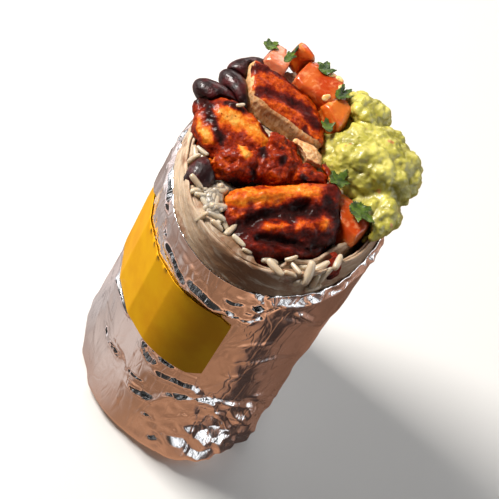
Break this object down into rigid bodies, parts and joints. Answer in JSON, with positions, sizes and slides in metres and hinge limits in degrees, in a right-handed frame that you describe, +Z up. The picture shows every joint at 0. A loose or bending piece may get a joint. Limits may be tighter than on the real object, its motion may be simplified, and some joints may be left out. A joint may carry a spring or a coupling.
{
  "type": "burrito",
  "caption": "Half a burrito standing in a foil wrap with a yellow sticker, its open end heaped with chicken, beans, tomato, guacamole and rice.",
  "frame": {"origin": "middle of the flat spot under the foil that the burrito stands on", "axes": "+Z up, along the burrito's length, from the closed foil end to the open end; -Y towards the front, where the heap is lowest and the sticker shows; +X to the right seen from the front"},
  "size_m": [0.0746, 0.0818, 0.1197],
  "materials": {
    "foil": "thin household foil, crinkled, bright",
    "label": "plain yellow sticker, satin",
    "tortilla": "soft flour tortilla, toasted in spots",
    "rice": "cooked long-grain rice, moist",
    "guacamole": "coarse avocado mash, moist",
    "chicken": "grilled spiced chicken, charred in stripes",
    "chicken_pale": "cut face of cooked chicken",
    "bean": "cooked black bean, shiny skin",
    "tomato": "wet diced tomato",
    "tomato_orange": "wet diced orange tomato",
    "leaf": "coriander leaf"
  },
  "bodies": {
    "root": {"foil_wrap": "foil", "label": "label", "tortilla": "tortilla", "rice": "rice", "guacamole": "guacamole", "chicken_chip": "chicken_pale", "tomato_orange": "tomato_orange", "tomato_right": "tomato_orange", "chicken_front": "chicken", "chicken_top": "chicken", "chicken_left": "chicken", "chicken_middle": "chicken", "chicken_shreds": "chicken", "chicken_low": "chicken", "bean_1": "bean", "bean_2": "bean", "bean_3": "bean", "bean_4": "bean", "tomato_big": "tomato", "tomato_pale": "tomato", "tomato_front": "tomato", "leaf_1": "leaf", "leaf_2": "leaf", "leaf_3": "leaf", "leaf_4": "leaf", "leaf_5": "leaf", "leaf_6": "leaf", "leaf_7": "leaf"}
  },
  "joints": []
}
